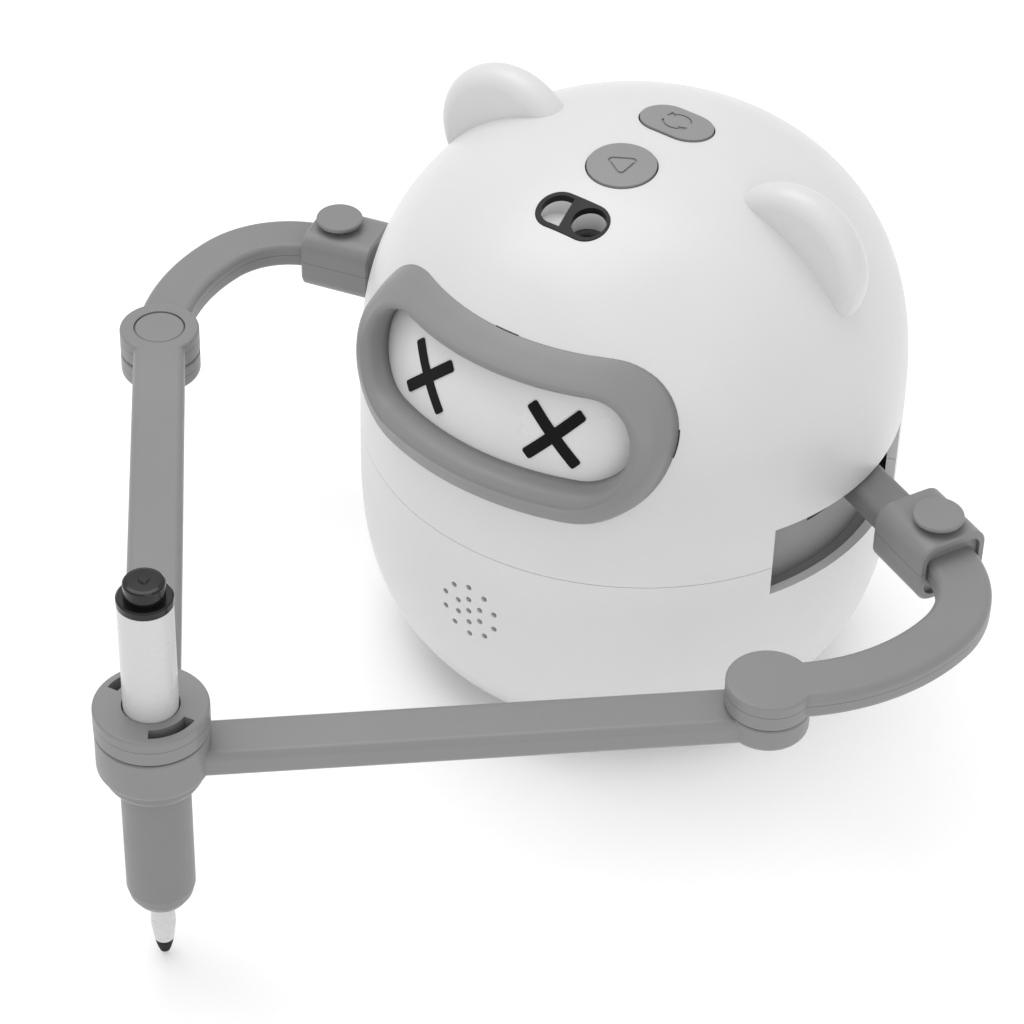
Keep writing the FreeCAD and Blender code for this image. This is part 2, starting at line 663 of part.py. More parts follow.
def make_motors():
    """C-shaped bracket on two posts, with one gear motor under the hubs and one above them."""
    width = "dims.bracket_width"
    low_z = "dims.low_motor_z - 2"
    high_z = "dims.high_motor_z + dims.motor_length"
    shelf_low = box("shelf_low", width, "44", "2", y="36", z=low_z)
    shelf_high = box("shelf_high", width, "44", "2", y="36", z=high_z)
    back = box("bracket_back", width, "3", "(%s) - (%s) + 2" % (high_z, low_z), y="56.5", z=low_z)
    feet = [box("bracket_foot%d" % number, "8", "8", "dims.low_motor_z - 1 - dims.post_height",
                x=str(x), y="47", z="dims.post_height") for number, x in enumerate((-12, 12))]
    bores = [cylinder("shelf_bore%d" % number, "4.5", "4", y="dims.shoulder_y", z=foot + " - 1")
             for number, foot in enumerate((low_z, high_z))]
    node(cut("bracket", fuse("bracket_body", shelf_low, shelf_high, back, *feet), *bores), "motor_frame")
    bore = "dims.pin_radius + dims.pin_clearance"
    floor = "dims.low_motor_z"
    top = floor + " + dims.motor_length"
    right = lathe("low_motor", [
        ("0", floor), ("dims.motor_radius - 0.6", floor), ("dims.motor_radius", floor + " + 0.6"),
        ("dims.motor_radius", top + " - 0.6"), ("dims.motor_radius - 0.6", top),
        (bore, top), (bore, top + " - 5.6"), ("0", top + " - 5.6")], y="dims.shoulder_y")
    node(right, "right_gearmotor")
    floor = "dims.high_motor_z"
    top = floor + " + dims.motor_length"
    left = lathe("high_motor", [
        ("0", floor + " + 8.6"), (bore, floor + " + 8.6"), (bore, floor),
        ("dims.motor_radius - 0.6", floor), ("dims.motor_radius", floor + " + 0.6"),
        ("dims.motor_radius", top + " - 0.6"), ("dims.motor_radius - 0.6", top), ("0", top)],
        y="dims.shoulder_y")
    node(left, "left_gearmotor")


def make_battery_and_boards():
    """Battery tray with columns for the main board, two cells, the board and the rear board."""
    tray = box("tray_plate", "60", "42", "2", y="-16", z="17")
    columns = [cylinder("column%d" % number, "2", "dims.main_board_z - 18", x=str(x), y=str(y), z="18")
               for number, (x, y) in enumerate(((27.5, 2), (-27.5, 2), (27.5, -34), (-27.5, -34)))]
    node(fuse("tray", tray, *columns), "battery_tray")
    cells = []
    for number, y in enumerate(("-6.5", "-25.5")):
        cell = cylinder("cell%d" % number, "dims.cell_radius", "dims.cell_length")
        cells.append(laid(cell, V(1, 0, 0), "-dims.cell_length / 2", y, "19 + dims.cell_radius"))
    node(fuse("cells", *cells), "battery_cells")
    node(box("main_plate", "60", "42", "dims.board_thickness", y="-16", z="dims.main_board_z"), "main_board")
    rear = box("rear_plate", "54", "dims.board_thickness", "14", y="dims.rear_board_y + dims.board_thickness / 2",
               z="dims.port_z - 6")
    node(rear, "rear_board")


def make_speaker():
    """Round speaker that sits in the ring behind the grille."""
    cone_body = cone("speaker_cone", "dims.speaker_radius - 0.1", "8", "6")
    laid(cone_body, V(0, 1, 0), "0", "-63.4", "dims.speaker_z")
    rim = cylinder("speaker_rim", "dims.speaker_radius", "1.4")
    laid(rim, V(0, 1, 0), "0", "-63.4", "dims.speaker_z")
    magnet = cylinder("speaker_magnet", "8", "10")
    laid(magnet, V(0, 1, 0), "0", "-62.4", "dims.speaker_z")
    node(fuse("speaker_body", cone_body, rim, magnet), "speaker")


def make_ports():
    """Charging socket and slide switch on the rear board."""
    face = "dims.rear_board_y + dims.board_thickness"
    socket_x = "-dims.port_x"
    shell = box("port_shell", "10", "9.6", "5", x=socket_x, y=face + " + 4.8", z="dims.port_z - 2.5")
    mouth = box("port_mouth", "8.6", "8", "3.6", x=socket_x, y=face + " + 6", z="dims.port_z - 1.8")
    node(cut("port", shell, mouth), "charging_socket")
    node(box("port_tongue", "6.4", "5", "0.8", x=socket_x, y=face + " + 4.5", z="dims.port_z - 0.4"),
         "charging_tongue")
    node(box("switch_case", "9", "4.8", "8", x="dims.port_x", y=face + " + 2.4", z="dims.port_z - 4"),
         "switch_body")
    slider = box("slider", "4.4", "5.6", "4", x="dims.port_x - 1.7", y=face + " + 8.3", z="dims.port_z - 2")
    ribs = [box("slider_rib%d" % number, "0.6", "0.5", "3.4", x="dims.port_x - 1.7 + %s" % shift,
                y=face + " + 11.3", z="dims.port_z - 1.7") for number, shift in enumerate(("-1.2", "0", "1.2"))]
    node(fuse("switch_slider", slider, *ribs), "power_switch")


def make_screws():
    """Self-tapping screws that hold the base plate to the bosses of the shell, driven from below."""
    screws = []
    for number, (x, y) in enumerate(screw_places()):
        head = cylinder("screw_head%d" % number, "2.8", "1.6", x=str(x), y=str(y),
                        z="dims.base_low_z + 0.1 - 1.6")
        shank = cylinder("screw_shank%d" % number, "1.4", "12", x=str(x), y=str(y), z="dims.base_low_z")
        recess = box("screw_recess%d" % number, "3", "0.8", "1", x=str(x), y=str(y),
                     z="dims.base_low_z - 1.9")
        screws.append(cut("screw%d" % number, fuse("screw_blank%d" % number, head, shank), recess))
    node(fuse("screws", *screws), "base_screws")


# ---------------------------------------------------------------- arms

def layer_z(layer):
    """Underside of the upper (1) or lower (0) arm layer."""
    top = size("arm_top_z") - size("arm_height")
    return top if layer else top - size("arm_height") - size("layer_gap")


def rounded_bar(wire_face, low_z, height, radius):
    """Extrude a flat outline upwards and soften its top and bottom edges."""
    solid = wire_face.extrude(V(0, 0, height))
    solid.translate(V(0, 0, low_z))
    flat_edges = []
    for edge in solid.Edges:
        if abs(edge.BoundBox.ZMax - edge.BoundBox.ZMin) < 1e-6 and edge.Length > size("bar_width") * 1.1:
            flat_edges.append(edge)
    return solid.makeFillet(radius, flat_edges)


def elbow_local():
    """The elbow's place in an arm's own frame: origin at the shoulder, X along the stub."""
    angle = math.radians(size("stub_angle"))
    return V(size("link_length") * math.cos(angle), size("link_length") * math.sin(angle), 0)


def bend_face():
    """Plan outline of the curved arm: a tight bend at the socket, then a long bend to the elbow."""
    half = size("bar_width") / 2
    start = V(size("bend_start"), 0, 0)
    first = size("bend_radius")
    turn = math.radians(size("bend_turn"))
    centre1 = start + V(0, first, 0)

    def on_first(radius, angle):
        return centre1 + V(radius * math.sin(angle), -radius * math.cos(angle), 0)

    joint = on_first(first, turn)
    inward = V(-math.sin(turn), math.cos(turn), 0)
    chord = elbow_local() - joint
    second = chord.Length ** 2 / (2 * chord.dot(inward))
    centre2 = joint + inward * second
    sweep = 2 * math.asin(chord.Length / (2 * second))

    def on_second(radius, angle):
        return centre2 + V(radius * math.sin(turn + angle), -radius * math.cos(turn + angle), 0)

    edges = []
    for side in (1, -1):
        tight = first + side * half
        wide = second + side * half
        edges.append(Part.Arc(on_first(tight, 0), on_first(tight, turn / 2), on_first(tight, turn)).toShape())
        edges.append(Part.Arc(on_second(wide, 0), on_second(wide, sweep / 2), on_second(wide, sweep)).toShape())
    edges.append(Part.LineSegment(on_first(first + half, 0), on_first(first - half, 0)).toShape())
    edges.append(Part.LineSegment(on_second(second + half, sweep), on_second(second - half, sweep)).toShape())
    return Part.Face(Part.Wire(Part.__sortEdges__(edges)))


def soft_disc(x, y, low_z, radius, height, top_round=0.7, low_round=0.7):
    """An upright disc whose top and bottom rims are rounded by their own amounts."""
    disc = Part.makeCylinder(radius, height, V(x, y, low_z))
    for rim_z, rounding in ((low_z, low_round), (low_z + height, top_round)):
        rim = [edge for edge in disc.Edges if abs(edge.BoundBox.ZMin - rim_z) < 0.01 and edge.BoundBox.ZLength < 0.01]
        disc = disc.makeFillet(rounding, rim)
    return disc


def place_arm(shape, side):
    """Bring a shape from the arm's own frame to its shoulder; the right arm is the mirror image."""
    name = "left" if side > 0 else "right"
    shape = shape.copy()
    if side > 0:
        shape = shape.mirror(V(0, 0, 0), V(0, 1, 0))
        shape.rotate(V(0, 0, 0), UP, size("left_arm_angle") + size("stub_angle"))
    else:
        shape.rotate(V(0, 0, 0), UP, size("%s_arm_angle" % name) - size("stub_angle"))
    shape.translate(V(0, size("shoulder_y"), 0))
    return shape


def make_curved_arm(side):
    """Socket, curved bar and elbow disc of one upper arm, moulded as one piece."""
    name = "left" if side > 0 else "right"
    low = layer_z(side > 0)
    height = size("arm_height")
    middle = low + height / 2
    bar = rounded_bar(bend_face(), low, height, size("bar_round"))
    elbow = elbow_local()
    disc = soft_disc(elbow.x, elbow.y, low, size("elbow_radius"), height, 0.7, 0.7 if side > 0 else 2.0)
    socket_low = middle - size("socket_height") / 2
    socket = Part.makeBox(size("socket_length"), size("socket_width"), size("socket_height"),
                          V(size("socket_start"), -size("socket_width") / 2, socket_low))
    long_edges = [edge for edge in socket.Edges if abs(edge.Length - size("socket_length")) < 1e-6]
    socket = socket.makeFillet(size("socket_round"), long_edges)
    end_x = size("socket_start") + size("socket_length")
    wall = 1.8
    recess = Part.makeBox(1.2, size("socket_width") - 2 * wall, size("socket_height") - 2 * wall,
                          V(end_x - 1.2, wall - size("socket_width") / 2, socket_low + wall))
    end_edges = [edge for edge in recess.Edges if abs(edge.Length - 1.2) < 1e-6]
    recess = recess.makeFillet(size("socket_round") - wall, end_edges)
    arm = socket.makeChamfer(0.5, [edge for edge in socket.Edges if edge.BoundBox.XLength < 1e-6])
    arm = arm.cut(recess).fuse([bar, disc])
    stub_hole = Part.makeBox(size("socket_length") - 2.1, size("stub_width") + 0.4, size("stub_height") + 0.4,
                             V(size("socket_start") - 0.5, -size("stub_width") / 2 - 0.2,
                               middle - size("stub_drop") - size("stub_height") / 2 - 0.2))
    stem_hole = Part.makeBox(size("lock_stem") + 0.6, size("lock_stem") + 0.6, size("socket_height"),
                             V(size("lock_position") - size("lock_stem") / 2 - 0.3,
                               -size("lock_stem") / 2 - 0.3, middle))
    pin_bore = size("pin_radius")
    bore_low = low - 1 if side > 0 else middle - 1.5
    bore_height = height - 1.5 + 1 if side > 0 else height
    bore = Part.makeCylinder(pin_bore, bore_height, V(elbow.x, elbow.y, bore_low))
    arm = arm.cut([stub_hole, stem_hole, bore])
    node(feature("%s_curved_arm_body" % name, place_arm(arm, side)), "%s_curved_arm" % name)


def make_drive_arm(side):
    """Hub on the shoulder axis with the straight stub that leaves through the slot."""
    name = "left" if side > 0 else "right"
    middle = layer_z(side > 0) + size("arm_height") / 2
    level = middle - size("stub_drop")
    half = size("stub_height") / 2
    tip = size("socket_start") + size("socket_length") - 3
    hub = Part.makeCylinder(11, size("stub_height"), V(0, 0, level - half))
    stub = Part.makeBox(tip, size("stub_width"), size("stub_height"), V(0, -size("stub_width") / 2, level - half))
    long_edges = [edge for edge in stub.Edges if abs(edge.Length - tip) < 1e-6]
    stub = stub.makeFillet(1.8, long_edges)
    arm = hub.fuse(stub)
    shaft_bore = Part.makeCylinder(size("pin_radius"), 20, V(0, 0, level - 10))
    stem_hole = Part.makeBox(size("lock_stem") + 0.6, size("lock_stem") + 0.6, 20,
                             V(size("lock_position") - size("lock_stem") / 2 - 0.3,
                               -size("lock_stem") / 2 - 0.3, middle - 1.6))
    arm = arm.cut([shaft_bore, stem_hole])
    node(feature("%s_drive_arm_body" % name, place_arm(arm, side)), "%s_drive_arm" % name)
    shaft_low = level - half if side > 0 else size("low_motor_z") + size("motor_length") - 5.1
    shaft_high = size("high_motor_z") + 8.1 if side > 0 else level + half
    node(cylinder("%s_shaft" % name, "dims.pin_radius", str(shaft_high - shaft_low), y="dims.shoulder_y",
                  z=str(shaft_low)), "%s_output_shaft" % name)


def make_lock(side):
    """Lock button with a round head on a square stem, and the spring under it."""
    name = "left" if side > 0 else "right"
    middle = layer_z(side > 0) + size("arm_height") / 2
    socket_top = middle + size("socket_height") / 2
    head_low = socket_top + size("lock_lift")
    head = soft_disc(size("lock_position"), 0, head_low, size("lock_radius"), size("lock_head"), 0.5, 0.3)
    stem_low = middle + 1.9
    stem = Part.makeBox(size("lock_stem"), size("lock_stem"), head_low + 0.3 - stem_low,
                        V(size("lock_position") - size("lock_stem") / 2, -size("lock_stem") / 2, stem_low))
    node(feature("%s_lock_body" % name, place_arm(head.fuse(stem), side)), "%s_lock_button" % name)
    coils = [Part.makeTorus(1.9, 0.3, V(size("lock_position"), 0, middle - 1.3 + rise))
             for rise in (0, 0.95, 1.9, 2.85)]
    node(feature("%s_spring" % name, place_arm(Part.makeCompound(coils), side)), "%s_lock_spring" % name)


def joint_places():
    """Places of the left elbow, the right elbow and the marker at rest."""
    shoulder = V(0, size("shoulder_y"), 0)
    reach = {}
    for name in ("left", "right"):
        angle = math.radians(size("%s_arm_angle" % name))
        reach[name] = V(size("link_length") * math.cos(angle), size("link_length") * math.sin(angle), 0)
    return shoulder + reach["left"], shoulder + reach["right"], shoulder + reach["left"] + reach["right"]


def straight_bar(start, end, low_z):
    """A straight bar with softened long edges between two points of the plan."""
    length = (end - start).Length
    half = size("bar_width") / 2
    corners = [V(0, -half, 0), V(length, -half, 0), V(length, half, 0), V(0, half, 0), V(0, -half, 0)]
    bar = rounded_bar(Part.Face(Part.makePolygon(corners)), low_z, size("arm_height"), size("bar_round"))
    heading = math.degrees(math.atan2(end.y - start.y, end.x - start.x))
    bar.rotate(V(0, 0, 0), UP, heading)
    bar.translate(start)
    return bar


def make_right_forearm(left_elbow, right_elbow, marker):
    """Upper-layer forearm: elbow disc with a cap recess, bar and the slotted upper marker ring."""
    low = layer_z(1)
    height = size("arm_height")
    bar = straight_bar(right_elbow, marker, low)
    disc = soft_disc(right_elbow.x, right_elbow.y, low, size("elbow_radius"), height)
    ring = soft_disc(marker.x, marker.y, low, size("ring_radius"), height)
    arm = ring.fuse([bar, disc])
    pin_bore = Part.makeCylinder(size("pin_radius") + size("pin_clearance"), 10, V(right_elbow.x, right_elbow.y, low - 2))
    cap_floor = low + height - size("elbow_cap_height")
    cap_bore = Part.makeCylinder(size("elbow_cap_radius") + 0.15, 3, V(right_elbow.x, right_elbow.y, cap_floor))
    marker_bore = Part.makeCylinder(size("marker_radius") + size("marker_gap"), 20, V(marker.x, marker.y, low - 5))
    neck_bore = Part.makeCylinder(size("holder_radius"), 3.0, V(marker.x, marker.y, low - 1))
    arm = arm.cut([pin_bore, cap_bore, marker_bore, neck_bore])
    for heading in (-22, 158):
        slot = Part.makeCylinder(11.3, 6, V(0, 0, 0), UP, 62)
        slot = slot.cut(Part.makeCylinder(8.6, 6, V(0, 0, 0)))
        slot.rotate(V(0, 0, 0), UP, heading - 31)
        slot.translate(V(marker.x, marker.y, low + height - 5))
        arm = arm.cut(slot)
    node(feature("right_forearm_body", arm), "right_forearm")
    cap_top = "dims.arm_top_z - 0.1"
    cap = lathe("elbow_cap", [
        ("0", "dims.arm_top_z - dims.elbow_cap_height"),
        ("dims.elbow_cap_radius", "dims.arm_top_z - dims.elbow_cap_height"),
        ("dims.elbow_cap_radius", cap_top + " - 0.4"), ("dims.elbow_cap_radius - 0.4", cap_top), ("0", cap_top)],
        x=str(right_elbow.x), y=str(right_elbow.y))
    node(cap, "right_elbow_cap")


def make_left_forearm(left_elbow, marker):
    """Lower-layer forearm: elbow disc, bar and the lower marker ring that turns on the holder."""
    low = layer_z(0)
    height = size("arm_height")
    bar = straight_bar(left_elbow, marker, low)
    heading = marker - left_elbow
    lean = math.degrees(math.asin(size("forearm_drop") / heading.Length))
    bar.rotate(left_elbow + V(0, 0, low + height / 2), UP.cross(heading), lean)
    disc = soft_disc(left_elbow.x, left_elbow.y, low, size("elbow_radius") - 0.3, height, 0.7, 2.0)
    radius = size("ring_radius") - 0.1
    ring_low = low + height - size("lower_ring_height")
    ring = soft_disc(marker.x, marker.y, ring_low, radius, size("lower_ring_height"), 0.5, 1.6)
    bore = Part.makeCylinder(size("holder_radius") + 0.35, 30, V(marker.x, marker.y, low - 15))
    pin_bore = Part.makeCylinder(size("pin_radius") + size("pin_clearance"), 20, V(left_elbow.x, left_elbow.y, low - 5))
    arm = ring.fuse([bar, disc]).cut([bore, pin_bore])
    node(feature("left_forearm_body", arm), "left_forearm")


def make_elbow_pins(left_elbow, right_elbow):
    """Steel pins, pressed into the curved arms, that the forearms turn on."""
    for name, place, low_z, high_z in (
            ("left", left_elbow, layer_z(0) + 0.3, layer_z(1) + size("arm_height") - 1.5),
            ("right", right_elbow, layer_z(0) + size("arm_height") / 2 - 1.5,
             layer_z(1) + size("arm_height") - 2.6)):
        node(cylinder("%s_pin" % name, "dims.pin_radius", str(high_z - low_z), x=str(place.x), y=str(place.y),
                      z=str(low_z)), "%s_elbow_pin" % name)


def make_holder(marker):
    """Tube under the upper ring that carries the marker, and the collar that holds the lower ring up."""
    outer = "dims.holder_radius"
    bore = "dims.marker_radius + dims.marker_gap"
    low = "dims.holder_low_z"
    top = "dims.arm_top_z - dims.arm_height + 2"
    tube = lathe("holder_tube", [
        ("dims.tip_radius + 1", low), (outer + " - 3.6", low), (outer + " - 1.8", low + " + 1"),
        (outer + " - 0.6", low + " + 3"), (outer, low + " + 5.5"), (outer, top), (bore, top),
        (bore, "dims.ledge_z"), ("dims.tip_radius + 1", "dims.ledge_z - 2")],
        x=str(marker.x), y=str(marker.y))
    node(tube, "marker_holder")
    collar_top = "dims.arm_top_z - dims.arm_height - dims.layer_gap - dims.lower_ring_height - 0.3"
    foot = collar_top + " - dims.collar_height"
    wide = "dims.ring_radius - 1.5"
    collar = lathe("collar", [
        (outer, foot), (outer + " + 1", foot), (outer + " + 1", foot + " + 1"), (wide + " - 2.2", foot + " + 1"),
        (wide + " - 0.9", foot + " + 1.9"), (wide + " - 0.2", foot + " + 3.2"), (wide, collar_top),
        (outer, collar_top)], x=str(marker.x), y=str(marker.y))
    node(collar, "holder_collar")


def make_marker(marker):
    """White marker with a black plug in its top end and a black fibre nib."""
    x = str(marker.x)
    y = str(marker.y)
    thick = "dims.marker_radius"
    top = "dims.marker_top_z"
    shoulder = "dims.ledge_z + 0.1"
    barrel = lathe("barrel", [
        ("0", "dims.nose_z"), ("dims.nib_radius + 0.15", "dims.nose_z"), ("dims.tip_radius + 0.25", "dims.nose_z + 5"),
        ("dims.tip_radius", "dims.holder_low_z - 1"), ("dims.tip_radius", shoulder + " - 2"), (thick, shoulder),
        (thick, top), ("0", top)], x=x, y=y)
    node(barrel, "marker_barrel")
    flange = "dims.marker_radius + 0.1"
    knob = "4.7"
    crown = "dims.plug_top_z"
    plug = lathe("plug", [
        ("0", top), (flange, top), (flange, top + " + 1.6"), (flange + " - 0.4", top + " + 2"),
        (knob, top + " + 2"), (knob, crown + " - 1"), (knob + " - 0.3", crown + " - 0.6"),
        (knob + " - 1", crown + " - 0.4"), ("1.2", crown + " - 0.4"), ("1", crown), ("0", crown)], x=x, y=y)
    node(plug, "marker_plug")
    low = "dims.nib_clearance"
    nib = lathe("nib", [
        ("0", low), ("0.7", low + " + 0.15"), ("1.2", low + " + 0.6"), ("dims.nib_radius - 0.6", low + " + 1.7"),
        ("dims.nib_radius - 0.1", "dims.nose_z - 1.2"), ("dims.nib_radius", "dims.nose_z"), ("0", "dims.nose_z")],
        x=x, y=y)
    node(nib, "marker_nib")


def check_and_export():
    """Stop if anything failed, then write one file for each sub-part."""
    doc.recompute()
    for obj in doc.Objects:
        if "Invalid" in obj.State or "Error" in obj.State:
            raise RuntimeError("%s failed: %s" % (obj.Name, obj.State))
    os.makedirs("parts", exist_ok=True)
    for obj in NODES:
        if obj.Shape.isNull() or not obj.Shape.isValid():
            raise RuntimeError("bad shape: %s" % obj.Label)
        print("%-22s solids %d  volume %8.1f" % (obj.Label, len(obj.Shape.Solids), obj.Shape.Volume))
    for obj in NODES:
        obj.Shape.exportStep("parts/%s.step" % obj.Label)


make_base_shell()
make_head_shell()
make_base_plate()
make_slot_liner()
make_face()
make_camera()
make_buttons()
make_motors()
make_battery_and_boards()
make_speaker()
make_ports()
make_screws()
LEFT_ELBOW, RIGHT_ELBOW, MARKER = joint_places()
for arm_side in (1, -1):
    make_drive_arm(arm_side)
    make_curved_arm(arm_side)
    make_lock(arm_side)
make_right_forearm(LEFT_ELBOW, RIGHT_ELBOW, MARKER)
make_left_forearm(LEFT_ELBOW, MARKER)
make_elbow_pins(LEFT_ELBOW, RIGHT_ELBOW)
make_holder(MARKER)
make_marker(MARKER)
check_and_export()
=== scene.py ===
"""Looks of the two-armed drawing robot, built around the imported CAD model.

Lengths named *_MM or written through mm() are millimetres in the CAD frame: +Z up, the robot faces -Y,
+X is its left. The photograph is greyscale, so every colour here is a neutral grey.
"""
import math

import bmesh
import bpy
from mathutils import Matrix, Vector


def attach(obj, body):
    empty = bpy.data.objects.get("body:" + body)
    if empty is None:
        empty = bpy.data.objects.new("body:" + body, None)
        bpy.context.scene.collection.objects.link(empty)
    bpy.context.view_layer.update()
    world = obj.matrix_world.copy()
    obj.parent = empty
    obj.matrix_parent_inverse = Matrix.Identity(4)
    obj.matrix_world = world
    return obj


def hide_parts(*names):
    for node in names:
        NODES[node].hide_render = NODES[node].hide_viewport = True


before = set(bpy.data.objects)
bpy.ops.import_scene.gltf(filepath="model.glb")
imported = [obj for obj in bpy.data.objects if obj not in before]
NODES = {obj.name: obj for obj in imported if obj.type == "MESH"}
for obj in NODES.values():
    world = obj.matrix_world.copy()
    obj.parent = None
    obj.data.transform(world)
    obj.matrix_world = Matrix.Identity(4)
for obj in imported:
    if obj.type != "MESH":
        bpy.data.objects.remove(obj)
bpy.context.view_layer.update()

# Driving dimensions, as in the CAD model
SHELL_RADIUS = 67.6
DOME_BASE_Z = 80.0
DOME_HEIGHT = 67.0
DOME_POWER = 2.5
VISOR_HALF_WIDTH = 36.2
VISOR_LOW_Z = 96.7
VISOR_HIGH_Z = 118.5
ARM_TOP_Z = 79.7
ARM_HEIGHT = 6.9
LAYER_GAP = 0.3


def mm(*values):
    """Millimetres to a vector in metres."""
    return Vector([value / 1000.0 for value in values])


def dome_radius(z, inset=0.0):
    """Radius of the dome's outer skin at a height, moved inwards by inset."""
    rise = max(0.0, (z - DOME_BASE_Z) / (DOME_HEIGHT - inset))
    return (SHELL_RADIUS - inset) * max(0.0, 1.0 - rise ** DOME_POWER) ** (1.0 / DOME_POWER)


# ---------------------------------------------------------------- materials

def new_material(name, base, roughness, specular=0.5):
    """A material with a Principled shader, its plain values set on the shader's own sockets."""
    material = bpy.data.materials.new(name)
    material.use_nodes = True
    shader = material.node_tree.nodes["Principled BSDF"]
    shader.inputs["Base Color"].default_value = (base, base, base, 1.0)
    shader.inputs["Roughness"].default_value = roughness
    shader.inputs["Specular IOR Level"].default_value = specular
    return material, material.node_tree, shader


def add_noise(tree, scale, detail=4.0, roughness=0.55):
    """Noise in object space, which is the same as the CAD frame, in metres."""
    place = tree.nodes.new("ShaderNodeTexCoord")
    noise = tree.nodes.new("ShaderNodeTexNoise")
    noise.inputs["Scale"].default_value = scale
    noise.inputs["Detail"].default_value = detail
    noise.inputs["Roughness"].default_value = roughness
    tree.links.new(place.outputs["Object"], noise.inputs["Vector"])
    return noise.outputs["Fac"]


def map_range(tree, value, low, high):
    """Spread a 0.3 to 0.7 noise value over low to high."""
    node = tree.nodes.new("ShaderNodeMapRange")
    node.inputs["From Min"].default_value = 0.3
    node.inputs["From Max"].default_value = 0.7
    node.inputs["To Min"].default_value = low
    node.inputs["To Max"].default_value = high
    tree.links.new(value, node.inputs["Value"])
    return node.outputs["Result"]


def moulded(name, base, roughness, grain=0.012, grain_scale=2600.0, tint=0.012, specular=0.5):
    """Injection-moulded plastic: fine spark-eroded grain, faint flow variation and uneven polish."""
    material, tree, shader = new_material(name, base, roughness, specular)
    flow = add_noise(tree, 22.0, 3.0)
    ramp = tree.nodes.new("ShaderNodeCombineColor")
    shade = map_range(tree, flow, base - tint, base + tint)
    for channel in ("Red", "Green", "Blue"):
        tree.links.new(shade, ramp.inputs[channel])
    tree.links.new(ramp.outputs["Color"], shader.inputs["Base Color"])
    polish = add_noise(tree, 140.0, 5.0)
    tree.links.new(map_range(tree, polish, roughness - 0.035, roughness + 0.035), shader.inputs["Roughness"])
    bump = tree.nodes.new("ShaderNodeBump")
    bump.inputs["Strength"].default_value = grain
    bump.inputs["Distance"].default_value = 0.0002
    tree.links.new(add_noise(tree, grain_scale, 2.0), bump.inputs["Height"])
    tree.links.new(bump.outputs["Normal"], shader.inputs["Normal"])
    return material


def metal(name, base, roughness):
    """Turned steel whose roughness varies in a fine noise."""
    material, tree, shader = new_material(name, base, roughness)
    shader.inputs["Metallic"].default_value = 1.0
    streak = add_noise(tree, 900.0, 3.0)
    tree.links.new(map_range(tree, streak, roughness - 0.08, roughness + 0.1), shader.inputs["Roughness"])
    return material


def circuit_board(name):
    """Solder-masked board with faint copper traces under the lacquer."""
    material, tree, shader = new_material(name, 0.05, 0.35)
    place = tree.nodes.new("ShaderNodeTexCoord")
    bricks = tree.nodes.new("ShaderNodeTexBrick")
    bricks.inputs["Scale"].default_value = 160.0
    bricks.inputs["Color1"].default_value = (0.02, 0.075, 0.035, 1.0)
    bricks.inputs["Color2"].default_value = (0.018, 0.06, 0.03, 1.0)
    bricks.inputs["Mortar"].default_value = (0.05, 0.13, 0.06, 1.0)
    tree.links.new(place.outputs["Object"], bricks.inputs["Vector"])
    tree.links.new(bricks.outputs["Color"], shader.inputs["Base Color"])
    return material


def clear_glass(name):
    material, tree, shader = new_material(name, 0.9, 0.05)
    shader.inputs["Transmission Weight"].default_value = 0.9
    smear = add_noise(tree, 300.0, 3.0)
    tree.links.new(map_range(tree, smear, 0.03, 0.09), shader.inputs["Roughness"])
    return material


def parted(name, line_z):
    """The grey plastic of the arms with the fine mould parting line that runs round each bar at one height."""
    material = moulded(name, ARM_GREY, 0.42, grain=0.03, tint=0.008)
    tree = material.node_tree
    shader = tree.nodes["Principled BSDF"]
    place = tree.nodes.new("ShaderNodeTexCoord")
    split = tree.nodes.new("ShaderNodeSeparateXYZ")
    tree.links.new(place.outputs["Object"], split.inputs["Vector"])
    near = tree.nodes.new("ShaderNodeMath")
    near.operation = "COMPARE"
    near.inputs[1].default_value = line_z / 1000.0
    near.inputs[2].default_value = PARTING_HALF_WIDTH / 1000.0
    tree.links.new(split.outputs["Z"], near.inputs[0])
    mix = tree.nodes.new("ShaderNodeMix")
    mix.data_type = "RGBA"
    base_link = shader.inputs["Base Color"].links[0]
    tree.links.new(near.outputs["Value"], mix.inputs["Factor"])
    for socket in mix.inputs:
        if socket.name == "A" and socket.type == "RGBA":
            tree.links.new(base_link.from_socket, socket)
        if socket.name == "B" and socket.type == "RGBA":
            socket.default_value = (PARTING_GREY, PARTING_GREY, PARTING_GREY, 1.0)
    for socket in mix.outputs:
        if socket.type == "RGBA":
            tree.links.new(socket, shader.inputs["Base Color"])
    return material


ARM_GREY = 0.22
PARTING_GREY = 0.12
PARTING_HALF_WIDTH = 0.11
UPPER_LINE_Z = ARM_TOP_Z - ARM_HEIGHT * 0.42
LOWER_LINE_Z = UPPER_LINE_Z - ARM_HEIGHT - LAYER_GAP

WHITE = moulded("white_shell", 0.655, 0.34)
PANEL_WHITE = moulded("white_panel", 0.70, 0.30)
GREY = moulded("grey_plastic", ARM_GREY, 0.42, grain=0.03, tint=0.008)
UPPER_GREY = parted("upper_arm_grey", UPPER_LINE_Z)
LOWER_GREY = parted("lower_arm_grey", LOWER_LINE_Z)
VISOR_GREY = moulded("visor_grey", 0.23, 0.42, grain=0.02, tint=0.006)
HOLDER_GREY = moulded("holder_grey", 0.195, 0.42, grain=0.03, tint=0.006)
BUTTON_GREY = moulded("button_grey", 0.245, 0.5, grain=0.02, tint=0.006)
LINER_GREY = moulded("liner_grey", 0.26, 0.5, grain=0.03)
DARK = moulded("dark_plastic", 0.05, 0.5, grain=0.05, tint=0.006)
BLACK = moulded("black_plastic", 0.008, 0.42, grain=0.03, tint=0.002, specular=0.25)
